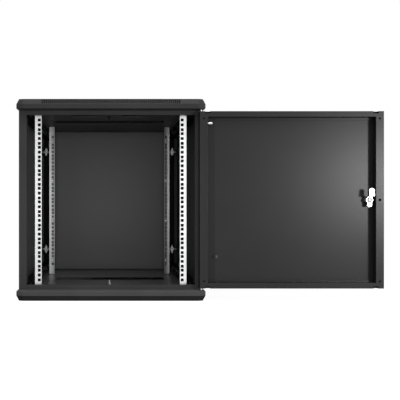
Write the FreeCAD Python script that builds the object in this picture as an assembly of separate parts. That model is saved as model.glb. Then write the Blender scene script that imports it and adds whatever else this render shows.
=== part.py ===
"""Wall mount network cabinet, 12 rack units high, with its solid door swung open.

Frame: +Z up, +X to the right, the wall at y = 0 and the front towards -Y. The origin
is the centre of the four wall holes, on the back face. Sizes are in millimetres.
"""
import FreeCAD
import Part
import math
import os

V = FreeCAD.Vector
X_AXIS = V(1, 0, 0)
Y_AXIS = V(0, 1, 0)
Z_AXIS = V(0, 0, 1)
ORIGIN = V(0, 0, 0)

# Overall
RACK_HOLE_SPACING = 465.1        # between the two columns of rack holes, 19-inch standard
UNIT_HEIGHT = 44.45              # one rack unit
RACK_UNITS = 12
DEPTH = 600.0                    # from the wall to the front of the noses
BODY_MARGIN = 63.45              # from a column of rack holes to the body's side
COVER_OVERHANG = 4.0             # of a nose beyond the body's side
HEIGHT_MARGIN = 53.8             # from the rack units to the top of a cover

# Clearances
TOUCH_GAP = 0.3                  # between two bodies that seat on each other
PIN_CLEARANCE = 0.05             # radial, a pin or shaft in its hole
SCREW_CLEARANCE = 0.1            # radial, a screw or barrel in its hole
PASS_CLEARANCE = 0.4             # radial, a moving bar in a hole that does not guide it

# Sides of small round parts that no other product meets, which keeps them light
SCREW_SIDES = 8
BAR_SIDES = 16
DISC_SIDES = 24

# Covers
COVER_SHEET = 1.5
NOSE_HEIGHT = 33.0
NOSE_DEPTH = 28.5                # from the nose's front to the frame's face
NOSE_CORNER_WIDTH = 21.0         # shallow plan facet at both ends of the nose
NOSE_CORNER_DEPTH = 6.0
NOSE_SLOPE_HEIGHT = 17.2         # sloped band along the outer edge
NOSE_SLOPE_SETBACK = 7.5
NOSE_LIP_HEIGHT = 2.5            # small bevel along the inner edge
NOSE_LIP_SETBACK = 2.5
SKIRT_HEIGHT = 31.0              # side walls of a cover
VENT_ROW_MARGIN = 78.5           # from a nose's end to the row of vents
VENT_PITCH = 6.6
VENT_SLOT_WIDTH = 3.0
VENT_MARGIN = 1.6                # sheet left above and below each vent slot
GUARD_SLOTS = 9                  # parallel slots of a fan guard
GUARD_DIAMETER = 104.0
GUARD_SLOT_WIDTH = 5.0
GUARD_BRIDGE = 8.0               # rib across the middle of the slots

# Frame
FRAME_SHEET = 1.5
FRONT_POST_WIDTH = 24.6
FRONT_POST_DEPTH = 30.0
FRONT_POST_LIP = 12.0
FRONT_BEAM_HEIGHT = 45.3
FRONT_BEAM_FLANGE = 10.0
REAR_POST_WIDTH = 38.0
REAR_POST_DEPTH = 20.0
REAR_POST_STEP = 12.0            # shoulder that the side beams and panels meet
REAR_POST_TONGUE = 18.0          # flange behind the back panel
REAR_BEAM_HEIGHT = 30.0
SIDE_BEAM_HEIGHT = 35.0
SIDE_BEAM_WIDTH = 21.0
SIDE_BEAM_INSET = 34.0           # from the body's side to a side beam's web
ROOF_GAP = 17.0                  # from a cover's sheet to the inner plate
WALL_HOLE_FROM_SIDE = 24.0       # from the body's side
WALL_HOLE_FROM_TOP = 35.5        # from the top of the cover
WALL_HOLE_RADIUS = 5.0

# Back panel, inner plates, cable entries, fan apertures
PLATE_SHEET = 1.5
BACK_PANEL_FACE = 14.0           # from the wall plane to the panel's front face
BACK_PANEL_OVERLAP = 14.0        # on each rear post's flange
BACK_PANEL_GAP = 3.6             # from the panel's edge to each inner plate
PLATE_OVERLAP = 8.0              # of an inner plate on a side beam
ENTRY_FROM_SIDE = 89.0           # from the body's side to the end of a cable entry
ENTRY_DEPTH = 70.0
ENTRY_CENTRE = 346.0             # behind the nose's front
ENTRY_PLATE_MARGIN = 12.0
FAN_OFFSET = 91.0                # from the centre line to each fan's axis
FAN_CENTRE = 184.5               # behind the nose's front
FAN_APERTURE = 93.0
FAN_CORNER = 12.0
FAN_HOLE_SPACING = 105.0
FAN_HOLE_RADIUS = 2.25

# Screws: M5 pan heads for sheet parts
SCREW_RADIUS = 2.5
SCREW_HEAD_RADIUS = 4.5
SCREW_HEAD_HEIGHT = 2.4
SCREW_LENGTH = 5.0
SCREW_EDGE = 7.0                 # from a sheet's edge to a screw's axis

# 19-inch rails
RACK_HOLE_INSET = 7.55           # from a rail's inner edge to its column of holes
RACK_HOLE_SHARES = (1 / 7, 1 / 2, 6 / 7)
RACK_HOLE_SIZE = 9.5
RAIL_FACE_WIDTH = 21.4
RAIL_WEB_DEPTH = 28.0
RAIL_SHEET = 2.0
RAIL_END_GAP = 1.0               # from a rail's end to the inner plates
FRONT_RAIL_SETBACK = 47.0        # behind the nose's front
REAR_RAIL_FROM_WALL = 140.0
FRONT_RAIL_TRAVEL = (-6.0, 120.0)
REAR_RAIL_TRAVEL = (-120.0, 50.0)
BRACKET_SHEET = 2.0
BRACKET_HEIGHT = 24.0
BRACKET_DEPTH = 22.0
BRACKET_DROP = 5.5               # from an inner plate to a bracket

# M6 hexagon bolts and nuts of the rails
BOLT_RADIUS = 3.0
BOLT_HEAD_FLATS = 10.0
BOLT_HEAD_HEIGHT = 4.0
NUT_HEIGHT = 5.0
BOLT_END = 1.0                   # of a bolt beyond its nut
SLOT_CLEARANCE = 0.4             # each side of a bolt in its slot

# Door
DOOR_SHEET = 1.5
DOOR_FROM_SIDE = 12.5            # from the nose's end to the closed door's lock edge
DOOR_DEPTH = 24.0
DOOR_GAP = 6.8                   # to each nose, above and below
DOOR_RECESS = 2.0                # the closed door's face behind the nose's front
STILE_WIDTH = 25.0
DOOR_RAIL_WIDTH = 17.5
DOOR_FOOT_HINGE = 27.0
DOOR_FOOT_LOCK = 4.0
DOOR_FOOT_RAIL = 8.0
DOOR_STIFFENER_SHEET = 1.5
CORNER_NOTCH_WIDTH = 16.0
CORNER_NOTCH_HEIGHT = 6.5
CORNER_NOTCH_DEPTH = 8.0
STILE_HOLE_RADIUS = 3.0
STILE_HOLE_INSET = 13.0
STILE_HOLE_DROP = 23.0
BUFFER_HOLE_RADIUS = 4.0
DOOR_STUD_INSET = 54.5           # from the hinge side
DOOR_STUD_HEIGHT = -181.0
STUD_RELIEF_SHARE = 0.65         # radius of the foot's relief, to the nut's flats
DOOR_STUD_CLEAR = 6.0            # depth of that relief

# Hinges
HINGE_FROM_SIDE = 12.0           # from the nose's end to the hinge axis
HINGE_FROM_EDGE = 6.5            # from the door's edge to the hinge axis
HINGE_PIN_RADIUS = 3.0
HINGE_PIN_REACH = 2.0            # of a pin beyond its lug
HINGE_LUG_SHEET = 3.0
HINGE_LUG_GAP = 1.0              # from the nose's inner bevel to the lug
HINGE_LUG_WIDTH = 24.0
HINGE_LUG_NOSE = 7.0             # radius of the lug round the pin
HINGE_PIN_LENGTH = 51.8          # from the tip to the handle's axis
HINGE_TRAVEL = 14.0
HINGE_BEND_RADIUS = 6.0
HINGE_HANDLE_LENGTH = 34.6       # from the pin's axis to the handle's end
HINGE_GRIP_LENGTH = 12.0
HINGE_GRIP_RADIUS = 4.0
HINGE_COLLAR_RADIUS = 4.6
HINGE_COLLAR_HEIGHT = 3.0
HINGE_SPRING_LENGTH = 22.0
HINGE_SPRING_RADIUS = 4.0
HINGE_SPRING_WIRE = 1.0
HINGE_SPRING_TURNS = 5
SPRING_RUNS = 10                 # straight runs drawn for each turn
HINGE_BRACKET_SHEET = 2.0
HINGE_BRACKET_WIDTH = 18.0
HINGE_BRACKET_HEIGHT = 20.0
HINGE_WINDOW_CLEARANCE = 1.5

# Lock
LOCK_FROM_EDGE = 41.5
LOCK_HEAD_RADIUS = 12.0
LOCK_HEAD_HEIGHT = 3.0
LOCK_BARREL_RADIUS = 8.0
LOCK_BARREL_LENGTH = 12.5        # inside the door's sheet
LOCK_PLUG_RADIUS = 5.5
LOCK_KEYWAY_WIDTH = 1.6
LOCK_KEYWAY_LENGTH = 7.0
LOCK_NUT_FLATS = 19.5
LOCK_NUT_HEIGHT = 5.0
CAM_SHEET = 2.5
CAM_STEP = 14.0                  # between the cam's two planes
CAM_HUB_RADIUS = 10.5
CAM_ARM_WIDTH = 15.5
CAM_TAIL_WIDTH = 14.0
CAM_REACH = 36.5                 # from the lock's axis to the cam's tip
CAM_TAIL_REACH = 22.0
CAM_BEND_START = 9.2             # from the axis to the first bend
CAM_BEND_LENGTH = 3.0
CAM_CORNER = 7.0
CAM_SCREW_HEAD_HEIGHT = 2.6
CAM_SCREW_HEAD_RADIUS = 7.0
CAM_SCREW_END_GAP = 0.5          # from the screw's end to the bottom of its hole
CAM_BEHIND_POST = 0.7            # from the post's sheet to the cam's tip plane
STRIKE_CLEARANCE = 2.0

# Side panels and their latches
PANEL_SHEET = 1.5
PANEL_FLANGE = 12.0
PANEL_GAP = 1.5                  # all round a side panel
TONGUE_HEIGHT = 38.0
TONGUE_LENGTH = 9.5
TONGUE_OFFSET = 150.0            # above and below the middle
TONGUE_INSET = 6.5               # from the panel's outer face
TONGUE_CLEARANCE = 2.0
LATCH_OFFSET = 208.0             # above and below the middle
LATCH_FROM_WALL = 50.0
LATCH_HEAD_RADIUS = 11.0
LATCH_HEAD_HEIGHT = 2.0
LATCH_BUSH_RADIUS = 8.0
LATCH_BUSH_LENGTH = 11.0
LATCH_NUT_FLATS = 22.0
LATCH_NUT_HEIGHT = 4.0
LATCH_SHAFT_RADIUS = 4.25
LATCH_SHAFT_END = 38.0           # from the panel's outer face to the shaft's end
LATCH_CAM_INSET = 26.5           # from the panel's outer face to the cam's middle
LATCH_CAM_HEIGHT = 36.0
LATCH_CAM_THICKNESS = 12.0
LATCH_CAM_WIDTH = 12.0
LATCH_CAM_STEPS = 8              # flats along each curved flank
LATCH_SLOT_WIDTH = 1.2
LATCH_SLOT_LENGTH = 6.0
LATCH_SLOT_DEPTH = 1.0
CATCH_OVERLAP = 9.0              # of a turned cam on its catch
CATCH_HEIGHT = 44.0
CATCH_GAP = 0.7

# Earth studs: M6
STUD_RADIUS = 3.0
STUD_LENGTH = 16.0
STUD_NUT_FLATS = 10.0
EARTH_STUD_BEHIND_FRONT = 208.0
EARTH_STUD_OFFSET = -3.0

# Planes that follow from the sizes above
FRONT = -DEPTH
FRAME_FACE = FRONT + NOSE_DEPTH
HALF_UNITS = RACK_UNITS * UNIT_HEIGHT / 2
HALF_HEIGHT = HALF_UNITS + HEIGHT_MARGIN
RAIL_COLUMN = RACK_HOLE_SPACING / 2
HALF_BODY = RAIL_COLUMN + BODY_MARGIN
HALF_WIDTH = HALF_BODY + COVER_OVERHANG
FRAME_TOP = HALF_HEIGHT - COVER_SHEET
CEILING = FRAME_TOP - ROOF_GAP
NOSE_UNDERSIDE = HALF_HEIGHT - NOSE_HEIGHT
SKIRT_EDGE = HALF_HEIGHT - SKIRT_HEIGHT
POST_INNER = HALF_BODY - FRONT_POST_WIDTH
POST_REAR = FRAME_FACE + FRONT_POST_DEPTH
BEAM_FRONT = FRAME_FACE + FRONT_BEAM_FLANGE
OPENING_TOP = FRAME_TOP - FRONT_BEAM_HEIGHT
REAR_POST_INNER = HALF_BODY - REAR_POST_WIDTH
STEP_INNER = HALF_BODY - REAR_POST_STEP
BEAM_INNER = HALF_BODY - SIDE_BEAM_INSET
BEAM_OUTER = BEAM_INNER + SIDE_BEAM_WIDTH
BEAM_UNDERSIDE = CEILING - SIDE_BEAM_HEIGHT
BACK_FACE = -BACK_PANEL_FACE
BACK_SEAT = BACK_FACE + PLATE_SHEET
WALL_HOLE_X = HALF_BODY - WALL_HOLE_FROM_SIDE
WALL_HOLE_Z = HALF_HEIGHT - WALL_HOLE_FROM_TOP
ENTRY_HALF = HALF_BODY - ENTRY_FROM_SIDE
ENTRY_Y = FRONT + ENTRY_CENTRE
FAN_Y = FRONT + FAN_CENTRE
RAIL_INNER = RAIL_COLUMN - RACK_HOLE_INSET
RAIL_OUTER = RAIL_INNER + RAIL_FACE_WIDTH
RAIL_TOP = CEILING - RAIL_END_GAP
SLOT_Z = CEILING - BRACKET_DROP - BRACKET_HEIGHT / 2
DOOR_HALF_HEIGHT = NOSE_UNDERSIDE - DOOR_GAP
DOOR_SKIN = FRONT + DOOR_RECESS
DOOR_INSIDE = DOOR_SKIN + DOOR_SHEET
DOOR_BACK = DOOR_SKIN + DOOR_DEPTH
HINGE_X = HALF_WIDTH - HINGE_FROM_SIDE
HINGE_Y = DOOR_SKIN + DOOR_DEPTH / 2
HINGE_EDGE = HINGE_X + HINGE_FROM_EDGE
LOCK_EDGE = DOOR_FROM_SIDE - HALF_WIDTH
LOCK_X = LOCK_EDGE + LOCK_FROM_EDGE
HINGE_LUG_LOW = NOSE_UNDERSIDE + NOSE_LIP_HEIGHT + HINGE_LUG_GAP
HINGE_LUG_TOP = HINGE_LUG_LOW + HINGE_LUG_SHEET
PIN_TIP = HINGE_LUG_TOP + HINGE_PIN_REACH
HANDLE_Z = PIN_TIP - HINGE_PIN_LENGTH
COLLAR_TOP = DOOR_HALF_HEIGHT - DOOR_SHEET - TOUCH_GAP
COLLAR_LOW = COLLAR_TOP - HINGE_COLLAR_HEIGHT
PANEL_FRONT = POST_REAR + PANEL_GAP
PANEL_REAR = -REAR_POST_DEPTH - PANEL_GAP
PANEL_TOP = SKIRT_EDGE - PANEL_GAP
CAM_TIP_FRONT = FRAME_FACE + FRAME_SHEET + CAM_BEHIND_POST
CAM_BASE_FRONT = CAM_TIP_FRONT - CAM_STEP
LATCH_CAM_X = HALF_BODY - LATCH_CAM_INSET
CATCH_X = LATCH_CAM_X + LATCH_CAM_THICKNESS / 2 + CATCH_GAP
CATCH_FRONT = -LATCH_FROM_WALL + LATCH_CAM_HEIGHT / 2 - CATCH_OVERLAP


def block(x0, x1, y0, y1, z0, z1):
    """Box between two corners, given in either order."""
    low = V(min(x0, x1), min(y0, y1), min(z0, z1))
    return Part.makeBox(abs(x1 - x0), abs(y1 - y0), abs(z1 - z0), low)


def rod(radius, start, end):
    """Round bar between two points."""
    run = end - start
    return Part.makeCylinder(radius, run.Length, start, run)


def prism(points, run):
    """Solid with flat ends: a closed outline carried along a vector."""
    outline = Part.makePolygon(points + [points[0]])
    return Part.Face(outline).extrude(run)


def many_sided(radius, start, end, sides, flats_at_radius=False):
    """Straight bar with equal flat sides whose corners, or flats, lie at the radius."""
    run = end - start
    corner = radius / math.cos(math.pi / sides) if flats_at_radius else radius
    points = []
    for index in range(sides):
        angle = 2 * math.pi * (index + 0.5) / sides
        points.append(V(corner * math.cos(angle), corner * math.sin(angle), 0))
    solid = prism(points, V(0, 0, run.Length))
    solid.Placement = FreeCAD.Placement(start, FreeCAD.Rotation(Z_AXIS, run))
    return solid


def hexagon(flats, height, centre, direction):
    """Hexagonal prism, as of a nut or a bolt's head, with its base at centre."""
    return many_sided(flats / 2, centre, centre + direction * height, 6, True)


def rounded_block(x0, x1, y0, y1, z0, z1, radius, direction):
    """Box whose four edges along one direction are rounded."""
    solid = block(x0, x1, y0, y1, z0, z1)
    edges = []
    for edge in solid.Edges:
        if edge.tangentAt(edge.FirstParameter).cross(direction).Length < PIN_CLEARANCE:
            edges.append(edge)
    return solid.makeFillet(radius, edges)


def union(shapes):
    """One solid from pieces that touch or overlap."""
    return shapes[0].multiFuse(shapes[1:]).removeSplitter()


def flip_x(shape):
    """The same piece on the other side."""
    return shape.mirror(ORIGIN, X_AXIS)


def flip_z(shape):
    """The same piece at the other end."""
    return shape.mirror(ORIGIN, Z_AXIS)


def opened(shape):
    """A door piece turned from closed to fully open."""
    turned = shape.copy()
    turned.rotate(V(HINGE_X, HINGE_Y, 0), Z_AXIS, 180)
    return turned


def pan_screw(seat, direction, length=SCREW_LENGTH):
    """Pan head screw whose head sits on the seat point; its shank runs along direction."""
    head = many_sided(SCREW_HEAD_RADIUS, seat - direction * SCREW_HEAD_HEIGHT, seat, SCREW_SIDES)
    shank = many_sided(SCREW_RADIUS, seat, seat + direction * length, SCREW_SIDES)
    return union([head, shank])


def screw_hole(seat, direction):
    """Clearance hole on a screw's axis, long enough for the sheets it joins."""
    radius = SCREW_RADIUS + SCREW_CLEARANCE
    start = seat - direction * SCREW_HEAD_HEIGHT
    end = seat + direction * (SCREW_LENGTH + SCREW_HEAD_HEIGHT)
    return many_sided(radius, start, end, SCREW_SIDES, True)


# ---------------------------------------------------------------- covers

def nose_outline(inset, z):
    """Plan of the nose at one height, drawn in evenly by the inset, with its facets."""
    side = HALF_WIDTH - inset
    front = FRONT + inset
    facet = math.atan2(NOSE_CORNER_DEPTH, NOSE_CORNER_WIDTH)
    corner_y = FRONT + NOSE_CORNER_DEPTH + inset * math.tan((math.pi / 2 - facet) / 2)
    corner_x = HALF_WIDTH - NOSE_CORNER_WIDTH - inset * math.tan(facet / 2)
    points = [V(-side, FRAME_FACE, z), V(-side, corner_y, z), V(-corner_x, front, z)]
    points += [V(corner_x, front, z), V(side, corner_y, z), V(side, FRAME_FACE, z)]
    return Part.makePolygon(points + [points[0]])


def bevel_level(height, setback, sheet):
    """Sheet of a bevel: its inset at the foot, and how far the foot's fold moves up."""
    slope = setback / height
    inset = sheet * math.sqrt(1 + slope ** 2)
    return slope, inset, (inset - sheet) / slope


def nose_body(sheet):
    """The nose's full form, drawn in by the sheet where its inside is wanted."""
    slope, slope_inset, slope_shift = bevel_level(NOSE_SLOPE_HEIGHT, NOSE_SLOPE_SETBACK, sheet)
    lip, lip_inset, lip_shift = bevel_level(NOSE_LIP_HEIGHT, NOSE_LIP_SETBACK, sheet)
    high = nose_outline(slope * (NOSE_SLOPE_HEIGHT - sheet) + slope_inset, HALF_HEIGHT - sheet)
    fold_high = nose_outline(sheet, HALF_HEIGHT - NOSE_SLOPE_HEIGHT - slope_shift)
    fold_low = nose_outline(sheet, NOSE_UNDERSIDE + NOSE_LIP_HEIGHT + lip_shift)
    low = nose_outline(lip * (NOSE_LIP_HEIGHT - sheet) + lip_inset, NOSE_UNDERSIDE + sheet)
    bands = [(fold_high, high), (fold_low, fold_high), (low, fold_low)]
    return union([Part.makeLoft(list(band), True, True) for band in bands])


def hinge_pin_hole():
    """Room in the nose's lower sheet for the hinge pin."""
    radius = HINGE_PIN_RADIUS + PASS_CLEARANCE
    low = NOSE_UNDERSIDE - COVER_SHEET
    return many_sided(radius, V(HINGE_X, HINGE_Y, low), V(HINGE_X, HINGE_Y, HINGE_LUG_LOW), BAR_SIDES, True)


def cover_shell():
    """Roof sheet with side walls and the hollow nose, without vents or openings."""
    sheet = COVER_SHEET
    skirt_outer = HALF_BODY + sheet
    roof = block(-skirt_outer, skirt_outer, FRAME_FACE, 0, FRAME_TOP, HALF_HEIGHT)
    full = nose_body(0)
    nose = full.cut(nose_body(sheet))
    end = block(HALF_BODY, HALF_WIDTH, FRAME_FACE - sheet, FRAME_FACE, NOSE_UNDERSIDE, HALF_HEIGHT)
    end = end.common(full)
    side = block(HALF_BODY, skirt_outer, FRAME_FACE, 0, SKIRT_EDGE, HALF_HEIGHT)
    shell = union([nose, end, flip_x(end), roof, side, flip_x(side)])
    return shell.cut(hinge_pin_hole())


def vent_row():
    """Cutters for the fine upright slots in the nose's slope."""
    count = int(2 * (HALF_WIDTH - VENT_ROW_MARGIN) / VENT_PITCH)
    low = HALF_HEIGHT - NOSE_SLOPE_HEIGHT + VENT_MARGIN
    high = HALF_HEIGHT - VENT_MARGIN
    front = FRONT - COVER_SHEET
    rear = FRONT + NOSE_SLOPE_SETBACK + COVER_SHEET
    cutters = []
    for index in range(count):
        x = (index - (count - 1) / 2) * VENT_PITCH
        half = VENT_SLOT_WIDTH / 2
        cutters.append(block(x - half, x + half, front, rear, low, high))
    return cutters


def guard_slots(x):
    """Cutters for one fan guard: parallel slots in a round outline, with a rib across."""
    low = FRAME_TOP - COVER_SHEET
    high = HALF_HEIGHT + COVER_SHEET
    pitch = GUARD_DIAMETER / (GUARD_SLOTS + 1)
    rib = GUARD_BRIDGE / 2
    cutters = []
    for index in range(GUARD_SLOTS):
        offset = (index - (GUARD_SLOTS - 1) / 2) * pitch
        reach = math.sqrt((GUARD_DIAMETER / 2) ** 2 - offset ** 2)
        x0 = x + offset - GUARD_SLOT_WIDTH / 2
        x1 = x0 + GUARD_SLOT_WIDTH
        cutters.append(block(x0, x1, FAN_Y + rib, FAN_Y + reach, low, high))
        cutters.append(block(x0, x1, FAN_Y - reach, FAN_Y - rib, low, high))
    return Part.makeCompound(cutters)


def entry_cutter(z0, z1):
    """Cable entry cut through sheets between two heights."""
    half_depth = ENTRY_DEPTH / 2
    return block(-ENTRY_HALF, ENTRY_HALF, ENTRY_Y - half_depth, ENTRY_Y + half_depth, z0, z1)


def entry_screws():
    """Seats of the four screws of the upper entry plate, on the plate's inner face."""
    x = ENTRY_HALF + ENTRY_PLATE_MARGIN / 2
    y = ENTRY_DEPTH / 2 + ENTRY_PLATE_MARGIN / 2
    z = FRAME_TOP - PLATE_SHEET
    return [V(sx * x, ENTRY_Y + sy * y, z) for sx in (-1, 1) for sy in (-1, 1)]


def skirt_screws():
    """Seats of the screws through the upper cover's side walls, right side."""
    x = HALF_BODY + COVER_SHEET
    z = (FRAME_TOP + SKIRT_EDGE) / 2
    front = POST_REAR - FRONT_POST_DEPTH / 2
    rear = -REAR_POST_DEPTH / 2
    return [V(x, front, z), V(x, rear, z)]


def cut_cover_screws(shape):
    """Holes for the entry plate's and the side walls' screws."""
    cutters = [screw_hole(seat, Z_AXIS) for seat in entry_screws()]
    for seat in skirt_screws():
        hole = screw_hole(seat, X_AXIS * -1)
        cutters += [hole, flip_x(hole)]
    return shape.cut(Part.makeCompound(cutters))


def make_top_cover():
    shell = cover_shell()
    shell = shell.cut(Part.makeCompound(vent_row()))
    shell = shell.cut(guard_slots(-FAN_OFFSET))
    shell = shell.cut(guard_slots(FAN_OFFSET))
    shell = shell.cut(entry_cutter(CEILING, HALF_HEIGHT + COVER_SHEET))
    return cut_cover_screws(shell)


def make_bottom_cover():
    shell = cover_shell().cut(entry_cutter(CEILING, HALF_HEIGHT + COVER_SHEET))
    return flip_z(cut_cover_screws(shell))


def make_entry_plate():
    """Blanking plate on the inside of the upper cover."""
    x = ENTRY_HALF + ENTRY_PLATE_MARGIN
    y = ENTRY_DEPTH / 2 + ENTRY_PLATE_MARGIN
    plate = block(-x, x, ENTRY_Y - y, ENTRY_Y + y, FRAME_TOP - PLATE_SHEET, FRAME_TOP)
    holes = [screw_hole(seat, Z_AXIS) for seat in entry_screws()]
    return plate.cut(Part.makeCompound(holes))


# ---------------------------------------------------------------- frame

def tongue_slot(z):
    """Notch in the front post's rear lip that a side panel's tongue enters and rests in."""
    low = z - TONGUE_HEIGHT / 2 - TOUCH_GAP
    high = z + TONGUE_HEIGHT / 2 + TONGUE_CLEARANCE
    outer = HALF_BODY - TONGUE_INSET + PANEL_SHEET / 2 + TONGUE_CLEARANCE
    lip_front = POST_REAR - FRAME_SHEET
    lip_rear = POST_REAR + FRAME_SHEET
    return block(HALF_BODY - FRONT_POST_LIP - FRAME_SHEET, outer, lip_front, lip_rear, low, high)


def make_front_post():
    """Right front post: a folded C, open to the rear."""
    sheet = FRAME_SHEET
    face = block(POST_INNER, HALF_BODY, FRAME_FACE, FRAME_FACE + sheet, -FRAME_TOP, FRAME_TOP)
    side = block(HALF_BODY - sheet, HALF_BODY, FRAME_FACE, POST_REAR, -FRAME_TOP, FRAME_TOP)
    inner = block(POST_INNER, POST_INNER + sheet, FRAME_FACE, POST_REAR, -FRAME_TOP, FRAME_TOP)
    lip = block(HALF_BODY - FRONT_POST_LIP, HALF_BODY, POST_REAR - sheet, POST_REAR, -FRAME_TOP, FRAME_TOP)
    post = union([face, side, inner, lip])
    cutters = [tongue_slot(TONGUE_OFFSET), tongue_slot(-TONGUE_OFFSET)]
    hole = screw_hole(skirt_screws()[0], X_AXIS * -1)
    cutters += [hole, flip_z(hole)]
    return post.cut(Part.makeCompound(cutters))


def make_front_post_left():
    """Left front post, with the slot that the lock's cam enters."""
    half = CAM_ARM_WIDTH / 2 + STRIKE_CLEARANCE
    front = FRAME_FACE + FRAME_SHEET
    rear = CAM_TIP_FRONT + CAM_SHEET + STRIKE_CLEARANCE
    reach = math.sqrt(CAM_REACH ** 2 - (-POST_INNER - FRAME_SHEET - LOCK_X) ** 2) + STRIKE_CLEARANCE
    outer = -POST_INNER - 2 * FRAME_SHEET
    slot = block(outer, -POST_INNER + FRAME_SHEET, front, rear, -half, reach + half / 2)
    return flip_x(make_front_post()).cut(slot)


def make_front_beam():
    """Upper front beam: a channel between the posts, open to the rear."""
    sheet = FRAME_SHEET
    rear = FRAME_FACE + FRONT_BEAM_FLANGE
    face = block(-POST_INNER, POST_INNER, FRAME_FACE, FRAME_FACE + sheet, OPENING_TOP, FRAME_TOP)
    lower = block(-POST_INNER, POST_INNER, FRAME_FACE, rear, OPENING_TOP, OPENING_TOP + sheet)
    upper = block(-POST_INNER, POST_INNER, FRAME_FACE, rear, FRAME_TOP - sheet, FRAME_TOP)
    return union([face, lower, upper])


def catch(z):
    """Tab on the rear post that a turned latch cam closes behind."""
    half = CATCH_HEIGHT / 2
    sheet = FRAME_SHEET
    step_front = -REAR_POST_DEPTH
    tab = block(CATCH_X, CATCH_X + sheet, CATCH_FRONT, step_front + sheet, z - half, z + half)
    arm = block(CATCH_X, STEP_INNER + sheet, step_front, step_front + sheet, z - half, z + half)
    return [tab, arm]


def make_rear_post():
    """Right rear post: flat against the wall, with a shoulder and two latch catches."""
    sheet = FRAME_SHEET
    web = block(REAR_POST_INNER, HALF_BODY, -sheet, 0, -FRAME_TOP, FRAME_TOP)
    side = block(HALF_BODY - sheet, HALF_BODY, -REAR_POST_DEPTH, 0, -FRAME_TOP, FRAME_TOP)
    step = block(STEP_INNER, HALF_BODY, -REAR_POST_DEPTH, -REAR_POST_DEPTH + sheet, -FRAME_TOP, FRAME_TOP)
    inner = block(REAR_POST_INNER, REAR_POST_INNER + sheet, BACK_SEAT, 0, -FRAME_TOP, FRAME_TOP)
    seat_edge = REAR_POST_INNER - REAR_POST_TONGUE
    seat = block(seat_edge, REAR_POST_INNER + sheet, BACK_SEAT, BACK_SEAT + sheet, -CEILING, CEILING)
    pieces = [web, side, step, inner, seat] + catch(LATCH_OFFSET) + catch(-LATCH_OFFSET)
    post = union(pieces)
    cutters = []
    for sign in (-1, 1):
        centre = V(WALL_HOLE_X, 0, sign * WALL_HOLE_Z)
        cutters.append(rod(WALL_HOLE_RADIUS, centre - Y_AXIS * 2 * sheet, centre + Y_AXIS * sheet))
    hole = screw_hole(skirt_screws()[1], X_AXIS * -1)
    cutters += [hole, flip_z(hole)]
    cutters += [screw_hole(seat_point, Y_AXIS) for seat_point in back_panel_screws() if seat_point.x > 0]
    return post.cut(Part.makeCompound(cutters))


def make_rear_beam():
    """Upper rear beam: a channel between the rear posts, open to the front."""
    sheet = FRAME_SHEET
    low = FRAME_TOP - REAR_BEAM_HEIGHT
    edge = REAR_POST_INNER - REAR_POST_TONGUE
    web = block(-REAR_POST_INNER, REAR_POST_INNER, -sheet, 0, low, FRAME_TOP)
    lower = block(-edge, edge, BACK_SEAT, 0, low, low + sheet)
    upper = block(-REAR_POST_INNER, REAR_POST_INNER, BACK_SEAT, 0, FRAME_TOP - sheet, FRAME_TOP)
    return union([web, lower, upper])


def rail_slot(face, travel):
    """Slot in a side beam's web for the bolts of one rail."""
    half = BOLT_RADIUS + SLOT_CLEARANCE
    bolt_y = face + BRACKET_DEPTH / 2 + RAIL_SHEET
    start = bolt_y + travel[0]
    end = bolt_y + travel[1]
    inner = BEAM_INNER - FRAME_SHEET
    outer = BEAM_INNER + 2 * FRAME_SHEET
    pieces = [block(inner, outer, start, end, SLOT_Z - half, SLOT_Z + half)]
    for y in (start, end):
        pieces.append(many_sided(half, V(inner, y, SLOT_Z), V(outer, y, SLOT_Z), BAR_SIDES, True))
    return union(pieces)


def make_side_beam():
    """Upper right side beam: a channel open outwards, slotted for two rails."""
    sheet = FRAME_SHEET
    web = block(BEAM_INNER, BEAM_INNER + sheet, BEAM_FRONT, -sheet, BEAM_UNDERSIDE, CEILING)
    pieces = [web]
    for low in (BEAM_UNDERSIDE, CEILING - sheet):
        pieces.append(block(BEAM_INNER, POST_INNER, BEAM_FRONT, POST_REAR, low, low + sheet))
        pieces.append(block(BEAM_INNER, BEAM_OUTER, POST_REAR, -sheet, low, low + sheet))
    beam = union(pieces)
    beam = beam.cut(rail_slot(FRONT + FRONT_RAIL_SETBACK, FRONT_RAIL_TRAVEL))
    return beam.cut(rail_slot(-REAR_RAIL_FROM_WALL, REAR_RAIL_TRAVEL))


def inner_plate():
    """Inner roof plate: its outline steps in between the rear posts."""
    sheet = PLATE_SHEET
    wide = BEAM_INNER + PLATE_OVERLAP
    narrow = REAR_POST_INNER - TOUCH_GAP
    front = FRAME_FACE + FRAME_SHEET
    step = CATCH_FRONT - TOUCH_GAP
    rear = BACK_FACE
    points = [V(-wide, front, CEILING), V(wide, front, CEILING), V(wide, step, CEILING)]
    points += [V(narrow, step, CEILING), V(narrow, rear, CEILING), V(-narrow, rear, CEILING)]
    points += [V(-narrow, step, CEILING), V(-wide, step, CEILING)]
    return prism(points, V(0, 0, sheet)).cut(entry_cutter(CEILING - sheet, CEILING + 2 * sheet))


def fan_cutters(x):
    """Square aperture with rounded corners and the four screw holes of one fan."""
    half = FAN_APERTURE / 2
    low = CEILING - PLATE_SHEET
    high = CEILING + 2 * PLATE_SHEET
    aperture = rounded_block(x - half, x + half, FAN_Y - half, FAN_Y + half, low, high, FAN_CORNER, Z_AXIS)
    cutters = [aperture]
    spread = FAN_HOLE_SPACING / 2
    for dx in (-spread, spread):
        for dy in (-spread, spread):
            cutters.append(rod(FAN_HOLE_RADIUS, V(x + dx, FAN_Y + dy, low), V(x + dx, FAN_Y + dy, high)))
    return cutters


def make_roof_plate():
    plate = inner_plate().cut(Part.makeCompound(fan_cutters(-FAN_OFFSET)))
    return plate.cut(Part.makeCompound(fan_cutters(FAN_OFFSET)))


def make_floor_plate():
    return flip_z(inner_plate())


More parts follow.
